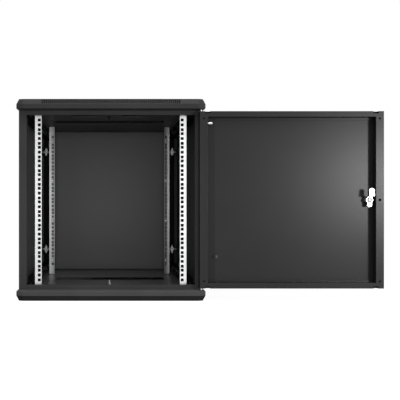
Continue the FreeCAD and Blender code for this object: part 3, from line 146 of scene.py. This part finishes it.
floor_paint = bpy.data.materials.new("studio_floor_paint")
floor_paint.use_nodes = True
tree = floor_paint.node_tree
tree.nodes.clear()
matt = add_node(tree, "ShaderNodeBsdfDiffuse", {"Color": FLOOR_GREY})
glow = add_node(tree, "ShaderNodeEmission", {"Color": WHITE})
spot = add_node(tree, "ShaderNodeTexCoord")
distance = add_node(tree, "ShaderNodeVectorMath", operation="LENGTH")
lit = add_node(tree, "ShaderNodeAddShader")
tree.links.new(spot.outputs["Object"], distance.inputs[0])
tree.links.new(mapped(tree, distance.outputs["Value"], GLOW_NEAR, GLOW_FAR),
               glow.inputs["Strength"])
tree.links.new(matt.outputs["BSDF"], lit.inputs[0])
tree.links.new(glow.outputs["Emission"], lit.inputs[1])
shown_instead(tree, matt.outputs["BSDF"], lit.outputs["Shader"], "ShaderNodeOutputMaterial")

floor_mesh = bmesh.new()
bmesh.ops.create_grid(floor_mesh, x_segments=1, y_segments=1, size=FLOOR_REACH)
bmesh.ops.translate(floor_mesh, verts=floor_mesh.verts, vec=(0, 0, cad_box[0][2] - FLOOR_DROP))
floor = new_object("studio_floor", floor_mesh, floor_paint)

world = bpy.data.worlds.new("studio")
world.use_nodes = True
bpy.context.scene.world = world
tree = world.node_tree
tree.nodes.clear()
plain = add_node(tree, "ShaderNodeBackground", {"Color": WHITE, "Strength": WORLD_LIGHT})
white = add_node(tree, "ShaderNodeBackground", {"Color": WHITE, "Strength": 1.0})
shown_instead(tree, plain.outputs["Background"], white.outputs["Background"],
              "ShaderNodeOutputWorld")


def studio_lamp(name, place, aim, width, height, watts):
    """Rectangular soft lamp aimed at a point."""
    data = bpy.data.lights.new(name, "AREA")
    data.shape = "RECTANGLE"
    data.size = width
    data.size_y = height
    data.energy = watts
    lamp = bpy.data.objects.new(name, data)
    lamp.location = place
    lamp.rotation_euler = (Vector(aim) - Vector(place)).to_track_quat("-Z", "Y").to_euler()
    bpy.context.scene.collection.objects.link(lamp)


studio_lamp("lamp_above", place=(0.2, -0.9, 2.4), aim=(0.2, -0.4, 0),
            width=2.6, height=2.0, watts=30)
studio_lamp("lamp_front_high", place=(0.3, -1.9, 2.1), aim=(0.2, -0.5, 0),
            width=2.4, height=1.2, watts=25)
studio_lamp("lamp_front", place=(-0.12, -3.3, -0.02), aim=(0.0, -0.3, 0),
            width=0.5, height=0.7, watts=13)
studio_lamp("lamp_right", place=(2.2, -2.8, 0.18), aim=(0.7, -0.6, 0),
            width=0.4, height=0.4, watts=33)

# ------------------------------------------------------------------ painted sheet steel
# Covers, posts, beams, plates, door and side panels: folded steel sheet, powder
# coated black with a fine orange-peel texture. The folds have small radii, and the
# insides of the covers and entry plates are drawn pale as painted light.
MIDDLE_DEPTH = 0.3                  # from the wall to the cabinet's middle


def painted_within(tree, position, paint, reach, shade):
    """Mix in another shade, as painted light or shade, where a point lies inside a sheet shell:
    reach is (x, y, z).
    """
    centred = add_node(tree, "ShaderNodeMapping", {"Location": (0.0, MIDDLE_DEPTH, 0.0)})
    apart = add_node(tree, "ShaderNodeVectorMath", operation="ABSOLUTE")
    split = add_node(tree, "ShaderNodeSeparateXYZ")
    tree.links.new(position, centred.inputs["Vector"])
    tree.links.new(centred.outputs["Vector"], apart.inputs[0])
    tree.links.new(apart.outputs["Vector"], split.inputs["Vector"])
    share = None
    for axis, limit in zip("XYZ", reach):
        within = add_node(tree, "ShaderNodeMath", {1: limit}, operation="LESS_THAN")
        tree.links.new(split.outputs[axis], within.inputs[0])
        if share is None:
            share = within.outputs["Value"]
            continue
        both = add_node(tree, "ShaderNodeMath", operation="MULTIPLY")
        tree.links.new(share, both.inputs[0])
        tree.links.new(within.outputs["Value"], both.inputs[1])
        share = both.outputs["Value"]
    mixed = add_node(tree, "ShaderNodeMix", {"B": (shade, shade, shade, 1)}, data_type="RGBA")
    tree.links.new(share, mixed.inputs["Factor"])
    tree.links.new(paint, mixed.inputs["A"])
    return mixed.outputs["Result"]


def faded_along(tree, position, paint, axis, start, end):
    """Scale a colour along an axis, as painted light or shade: start and end are pairs (place,
    brightness).
    """
    split = add_node(tree, "ShaderNodeSeparateXYZ")
    faded = add_node(tree, "ShaderNodeVectorMath", operation="SCALE")
    tree.links.new(position, split.inputs["Vector"])
    tree.links.new(paint, faded.inputs["Vector"])
    tree.links.new(mapped(tree, split.outputs[axis], start, end), faded.inputs["Scale"])
    return faded.outputs["Vector"]


def noise(tree, position, scale, detail):
    """Fine or coarse noise over a position, as a value round one half."""
    cloud = add_node(tree, "ShaderNodeTexNoise", {"Scale": scale, "Detail": detail})
    tree.links.new(position, cloud.inputs["Vector"])
    return cloud.outputs["Fac"]


def two_tones(tree, value, low, high):
    """Colour of a value: low and high are pairs (value, colour)."""
    tone = add_node(tree, "ShaderNodeValToRGB")
    for stop, (place, colour) in zip(tone.color_ramp.elements, (low, high)):
        stop.position = place
        stop.color = (*colour, 1)
    tree.links.new(value, tone.inputs["Fac"])
    return tone.outputs["Color"]


def powder_coat(name, shade, roughness, gloss, grain=900.0, inside=None, fade=None):
    """Black powder coat: nearly even colour, soft sheen, fine pebbled bump, rounded folds.

    inside is (reach, shade): the box within that reach of the cabinet's axis, on the
    inner faces of a sheet shell, has another shade as painted light or shade. fade is
    (axis, start, end), with the place and the paint's brightness at both ends of the
    fade, as painted light or shade.
    """
    material = bpy.data.materials.new(name)
    material.use_nodes = True
    tree = material.node_tree
    shader = tree.nodes["Principled BSDF"]
    shader.inputs["Specular IOR Level"].default_value = gloss
    position = add_node(tree, "ShaderNodeTexCoord").outputs["Object"]
    paint = two_tones(tree, noise(tree, position, scale=5.0, detail=3.0),
                      (0.35, (shade * 0.88, shade * 0.88, shade * 0.9)),
                      (0.65, (shade * 1.12, shade * 1.12, shade * 1.12)))
    if fade is not None:
        paint = faded_along(tree, position, paint, *fade)
    if inside is not None:
        paint = painted_within(tree, position, paint, *inside)
    sheen = mapped(tree, noise(tree, position, scale=260.0, detail=2.0),
                   (0.0, roughness - 0.05), (1.0, roughness + 0.05))
    fold = add_node(tree, "ShaderNodeBevel", {"Radius": 0.0014}, samples=4)
    bump = add_node(tree, "ShaderNodeBump", {"Strength": 0.25, "Distance": 0.0002})
    tree.links.new(noise(tree, position, scale=grain, detail=2.0), bump.inputs["Height"])
    tree.links.new(fold.outputs["Normal"], bump.inputs["Normal"])
    tree.links.new(paint, shader.inputs["Base Color"])
    tree.links.new(sheen, shader.inputs["Roughness"])
    tree.links.new(bump.outputs["Normal"], shader.inputs["Normal"])
    return material


def dress(material, *names):
    """Give CAD nodes one material all over."""
    for name in names:
        data = nodes[name].data
        data.materials.clear()
        data.materials.append(material)


# Within these reaches of the cabinet's middle lie the inner faces of the sheets. Their
# shades are painted light, pale inside the covers and entry plates and lighter on the
# back panel's inner face, and painted shade, near black, inside the rear posts and side beams.
cover_inside_painted_light = ((0.270, 0.270, 0.3192), 0.55)
entry_inside_painted_light = ((0.230, 0.270, 0.3189), 0.34)
back_inside_painted_light = ((0.300, 0.2868, 0.3200), 0.12)
rear_inside_painted_shade = ((0.2955, 0.2993, 0.3185), 0.004)
# Painted shade makes the bottom cover darker below the edge of its nose's slope, and
# painted light and shade make the floor plate darker in front of its cable entry than behind
# it.
slope_painted_shade = ("Z", (-0.3045, 0.40), (-0.3030, 1.0))
floor_painted_light_and_shade = ("Y", (-0.28, 0.72), (-0.13, 1.45))

# All these are one black powder coat; their different shades are painted light and shade: the
# bottom cover and the roof and floor plates are drawn lighter, the door darker, and the door's
# stiffeners darker still, as painted shade beside the door's flanges.
frame_coat = powder_coat("frame_powder_coat", shade=0.046, roughness=0.42, gloss=0.12)
top_coat = powder_coat("top_cover_powder_coat", shade=0.039, roughness=0.44, gloss=0.10,
                       inside=cover_inside_painted_light)
bottom_coat = powder_coat("bottom_cover_powder_coat", shade=0.098, roughness=0.46, gloss=0.0,
                          inside=cover_inside_painted_light, fade=slope_painted_shade)
entry_coat = powder_coat("entry_plate_powder_coat", shade=0.046, roughness=0.42, gloss=0.12,
                         inside=entry_inside_painted_light)
back_coat = powder_coat("back_panel_powder_coat", shade=0.046, roughness=0.42, gloss=0.30,
                        inside=back_inside_painted_light)
door_coat = powder_coat("door_powder_coat", shade=0.013, roughness=0.34, gloss=0.24)
stiffener_shade_coat = powder_coat("stiffener_painted_shade_coat", shade=0.010, roughness=0.42, gloss=0.18)
roof_lit_coat = powder_coat("roof_plate_painted_light_coat", shade=0.17, roughness=0.50, gloss=0.04)
floor_lit_coat = powder_coat("floor_plate_painted_light_coat", shade=0.115, roughness=0.34, gloss=0.34,
                         fade=floor_painted_light_and_shade)
rear_coat = powder_coat("rear_post_coat", shade=0.046, roughness=0.50, gloss=0.05,
                        inside=rear_inside_painted_shade)
dress(top_coat, "top_cover")
dress(bottom_coat, "bottom_cover")
dress(frame_coat, "front_post_left", "front_post_right", "front_beam_top",
      "front_beam_bottom", "rear_beam_top", "rear_beam_bottom", "hinge_lugs",
      "side_panel_left", "side_panel_right")
dress(entry_coat, "top_entry_plate", "bottom_entry_plate")
dress(back_coat, "back_panel")
dress(roof_lit_coat, "roof_plate")
dress(floor_lit_coat, "floor_plate")
dress(rear_coat, "rear_post_left", "rear_post_right", "side_beam_top_left",
      "side_beam_top_right", "side_beam_bottom_left", "side_beam_bottom_right")
dress(door_coat, "door_panel", "door_rail_top", "door_rail_bottom", "hinge_brackets")
dress(stiffener_shade_coat, "door_stile_hinge", "door_stile_lock")

# ------------------------------------------------------------------ rails
# Four perforated angles of bright zinc plated steel. Cold rolling leaves faint
# lengthwise streaks under the zinc. Their brackets and bolts are drawn near black
# as painted shade.
RAIL_STREAK = 0.05


def zinc_plate(name, shade, roughness, streak=1.0, fade=None):
    """Plated steel: metallic, with cloudy spangle and streaks stretched along Z.

    fade is (axis, start, end), with the place and the plate's brightness at both
    ends of the fade, painted light and shade on the plate.
    """
    material = bpy.data.materials.new(name)
    material.use_nodes = True
    tree = material.node_tree
    shader = tree.nodes["Principled BSDF"]
    shader.inputs["Metallic"].default_value = 1.0
    position = add_node(tree, "ShaderNodeTexCoord").outputs["Object"]
    paint = two_tones(tree, noise(tree, position, scale=38.0, detail=4.0),
                      (0.3, (shade * 0.84, shade * 0.85, shade * 0.86)),
                      (0.7, (shade, shade, shade)))
    if fade is not None:
        paint = faded_along(tree, position, paint, *fade)
    stretch = add_node(tree, "ShaderNodeMapping", {"Scale": (1.0, 1.0, streak)})
    tree.links.new(position, stretch.inputs["Vector"])
    lines = noise(tree, stretch.outputs["Vector"], scale=420.0, detail=3.0)
    sheen = mapped(tree, lines, (0.0, roughness - 0.07), (1.0, roughness + 0.07))
    bump = add_node(tree, "ShaderNodeBump", {"Strength": 0.12, "Distance": 0.0001})
    tree.links.new(lines, bump.inputs["Height"])
    tree.links.new(paint, shader.inputs["Base Color"])
    tree.links.new(sheen, shader.inputs["Roughness"])
    tree.links.new(bump.outputs["Normal"], shader.inputs["Normal"])
    return material


# Painted light and shade: the front right rail is drawn brighter than the front left one,
# and the rear rails brighter at their outer edges than at their inner ones.
rail_plates = {
    "front_left": zinc_plate("rail_zinc_front_left", 0.50, 0.40, RAIL_STREAK),
    "front_right": zinc_plate("rail_zinc_front_right", 0.67, 0.40, RAIL_STREAK),
    "rear_left": zinc_plate("rail_zinc_rear_left", 0.55, 0.46, RAIL_STREAK,
                            fade=("X", (-0.262, 1.70), (-0.225, 0.68))),
    "rear_right": zinc_plate("rail_zinc_rear_right", 0.55, 0.46, RAIL_STREAK,
                             fade=("X", (0.230, 0.24), (0.262, 1.5))),
}
# Near black plate of the rail brackets and bolts: painted shade.
painted_shade_zinc = zinc_plate("painted_shade_zinc", 0.05, 0.44)
for corner, plate in rail_plates.items():
    dress(plate, f"rail_{corner}")
    dress(painted_shade_zinc, f"rail_brackets_{corner}", f"rail_bolts_{corner}")

# ------------------------------------------------------------------ fasteners and studs
# Zinc plated screws, earth studs and nuts, and the two hinge pins of bright steel.
# The roof's stud and nut are drawn dark as painted shade, the floor's bright; the door's
# stud is drawn dark.
WELD = 1e-6                         # points closer than this become one
HEAD_STEPS = 24                     # facets round a domed head
DISC_HEIGHT = 0.0003                # left of each flat head under the domed one
DOME_OVERLAP = 1.002                # of a domed head's radius over the disc's
FULL_HEAD = 0.88                    # least share of a head's circle that its top fills

fastener_zinc = zinc_plate("fastener_zinc", 0.66, 0.36)
# Painted shade: the roof's stud and nut, above the middle, are drawn darker than the floor's.
earth_plate_painted_shade = zinc_plate("earth_stud_painted_shade_plate", 0.66, 0.36,
                         fade=("Z", (-0.01, 1.0), (0.01, 0.10)))
door_stud_plate = zinc_plate("door_stud_plate", 0.07, 0.44)
dress(fastener_zinc, "hinge_pin_upper", "hinge_pin_lower")
dress(earth_plate_painted_shade, "earth_studs", "earth_nuts")
dress(door_stud_plate, "door_earth_stud")


def pan_head(radius, height, socket, depth):
    """Domed screw head on the origin, its top along Z, with a hexagon socket in it."""
    profile = [(0.0, 0.0), (radius, 0.0), (radius, 0.5 * height), (0.92 * radius, 0.8 * height),
               (0.7 * radius, height), (socket, height), (0.96 * socket, height - depth),
               (0.0, height - depth)]
    head = bmesh.new()
    points = [head.verts.new((out, 0.0, up)) for out, up in profile]
    lines = [head.edges.new(pair) for pair in zip(points, points[1:])]
    bmesh.ops.spin(head, geom=points + lines, cent=(0, 0, 0), axis=(0, 0, 1),
                   angle=2 * math.pi, steps=HEAD_STEPS, use_merge=True)
    bmesh.ops.remove_doubles(head, verts=head.verts, dist=WELD)
    for point in head.verts:
        out = point.co.xy.length
        if WELD < out < 1.01 * socket:
            turn = math.atan2(point.co.y, point.co.x) % (math.pi / 3) - math.pi / 6
            point.co.xy *= math.cos(math.pi / 6) / math.cos(turn)
    bmesh.ops.recalc_face_normals(head, faces=head.faces)
    data = bpy.data.meshes.new("pan_head")
    head.to_mesh(data)
    head.free()
    return data


def headed_screws(name, node, body, radius, height, socket, depth, material):
    """Screws of a CAD node, each flat head lowered to a thin disc under a domed one."""
    mesh = bmesh.new()
    mesh.from_mesh(nodes[node].data)
    bmesh.ops.remove_doubles(mesh, verts=mesh.verts, dist=WELD)
    bmesh.ops.dissolve_limit(mesh, angle_limit=math.radians(0.5),
                             verts=mesh.verts, edges=mesh.edges)
    head_area = FULL_HEAD * math.pi * radius ** 2
    tops = [face for face in mesh.faces if face.calc_area() > head_area]
    seats = []
    for top in tops:
        up = top.normal.copy()
        seat = top.calc_center_median() - up * height
        bmesh.ops.translate(mesh, verts=top.verts[:], vec=up * (DISC_HEIGHT - height))
        seats.append(Matrix.Translation(seat) @ up.to_track_quat("Z", "Y").to_matrix().to_4x4())
    template = pan_head(DOME_OVERLAP * radius, height, socket, depth)
    for seat in seats:
        head = template.copy()
        head.transform(seat)
        mesh.from_mesh(head)
        bpy.data.meshes.remove(head)
    bmesh.ops.triangulate(mesh, faces=mesh.faces[:])
    screws = new_object(name, mesh, material)
    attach(screws, body)
    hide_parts(node)


headed_screws("sheet_screw_set", "sheet_screws", "cabinet", radius=0.0045, height=0.0024,
              socket=0.0019, depth=0.0013, material=fastener_zinc)

# ------------------------------------------------------------------ hinge spring
# Coil of bright spring wire round the upper hinge pin. It pushes the pin up into
# the lug.
wire_radius = 0.0005
wire_facets = 8
coil_radius = 0.004
turns = 5
coil_steps = 24 * turns
spring_low, spring_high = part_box("hinge_spring")
spring_middle = (spring_low + spring_high) / 2
free_length = spring_high.z - spring_low.z
coil = bmesh.new()
bmesh.ops.create_circle(coil, cap_ends=False, segments=wire_facets, radius=wire_radius,
                        matrix=Matrix.Translation((coil_radius, 0, spring_low.z + wire_radius))
                        @ Matrix.Rotation(math.radians(90), 4, "X"))
bmesh.ops.spin(coil, geom=coil.verts[:] + coil.edges[:], cent=(0, 0, 0), axis=(0, 0, 1),
               dvec=(0, 0, (free_length - 2 * wire_radius) / coil_steps),
               angle=2 * math.pi * turns, steps=coil_steps, use_merge=False)
bmesh.ops.holes_fill(coil, edges=[edge for edge in coil.edges if edge.is_boundary],
                     sides=wire_facets)
bmesh.ops.recalc_face_normals(coil, faces=coil.faces)
bmesh.ops.translate(coil, verts=coil.verts, vec=(spring_middle.x, spring_middle.y, 0))
hinge_coil = new_object("hinge_coil", coil, zinc_plate("spring_wire", 0.50, 0.30))
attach(hinge_coil, "door")
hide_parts("hinge_spring")
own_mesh(hinge_coil)

# ------------------------------------------------------------------ lock
# Chromed die-cast lock with a plated steel cam, and a darker nut and screw. The
# rim of a blackened washer shows round the screw's head.
lock_chrome = zinc_plate("lock_chrome", 0.90, 0.14)
cam_plate = zinc_plate("cam_plate", 0.66, 0.34)
cam_screw_plate = zinc_plate("cam_screw_plate", 0.22, 0.36)
dress(lock_chrome, "lock_housing", "lock_cylinder")
dress(cam_plate, "lock_cam")
dress(cam_screw_plate, "lock_nut")
headed_screws("cam_screw", "lock_cam_screw", "lock_plug", radius=0.0070, height=0.0026,
              socket=0.0032, depth=0.0018, material=cam_screw_plate)

washer_bore = 0.0071
washer_radius = 0.0084
washer_bulge = 0.0002               # of the rim, half way up
washer_seat = 0.0001                # sunk into the cylinder's end
washer_height = 0.0009              # above the cylinder's end
washer_steps = 48
screw_low, screw_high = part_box("lock_cam_screw")
lock_axis = (screw_low + screw_high) / 2
cylinder_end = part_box("lock_cylinder")[0].y
washer_low = cylinder_end + washer_seat
washer_high = cylinder_end - washer_height
washer = bmesh.new()
corners = [washer.verts.new(corner) for corner in (
    (washer_bore, washer_low, 0), (washer_radius, washer_low, 0),
    (washer_radius + washer_bulge, (washer_low + washer_high) / 2, 0),
    (washer_radius, washer_high, 0), (washer_bore, washer_high, 0))]
rim = [washer.edges.new(pair) for pair in zip(corners, corners[1:] + corners[:1])]
bmesh.ops.spin(washer, geom=corners + rim, cent=(0, 0, 0), axis=(0, 1, 0), angle=2 * math.pi,
               steps=washer_steps, use_merge=True)
bmesh.ops.recalc_face_normals(washer, faces=washer.faces)
bmesh.ops.translate(washer, verts=washer.verts, vec=(lock_axis.x, 0, lock_axis.z))
cam_washer = new_object("cam_washer", washer, zinc_plate("cam_washer_plate", 0.07, 0.40))
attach(cam_washer, "lock_plug")

# ------------------------------------------------------------------ side latches
# Plated die-cast turning latches in black moulded bushes.
latch_cast = zinc_plate("latch_cast", 0.38, 0.45)
for level in ("upper", "lower"):
    for side in ("left", "right"):
        dress(latch_cast, f"latch_{level}_{side}")
bush_moulding = powder_coat("bush_moulding", shade=0.020, roughness=0.5, gloss=0.3, grain=300.0)
dress(bush_moulding, "latch_bushes_left", "latch_bushes_right")
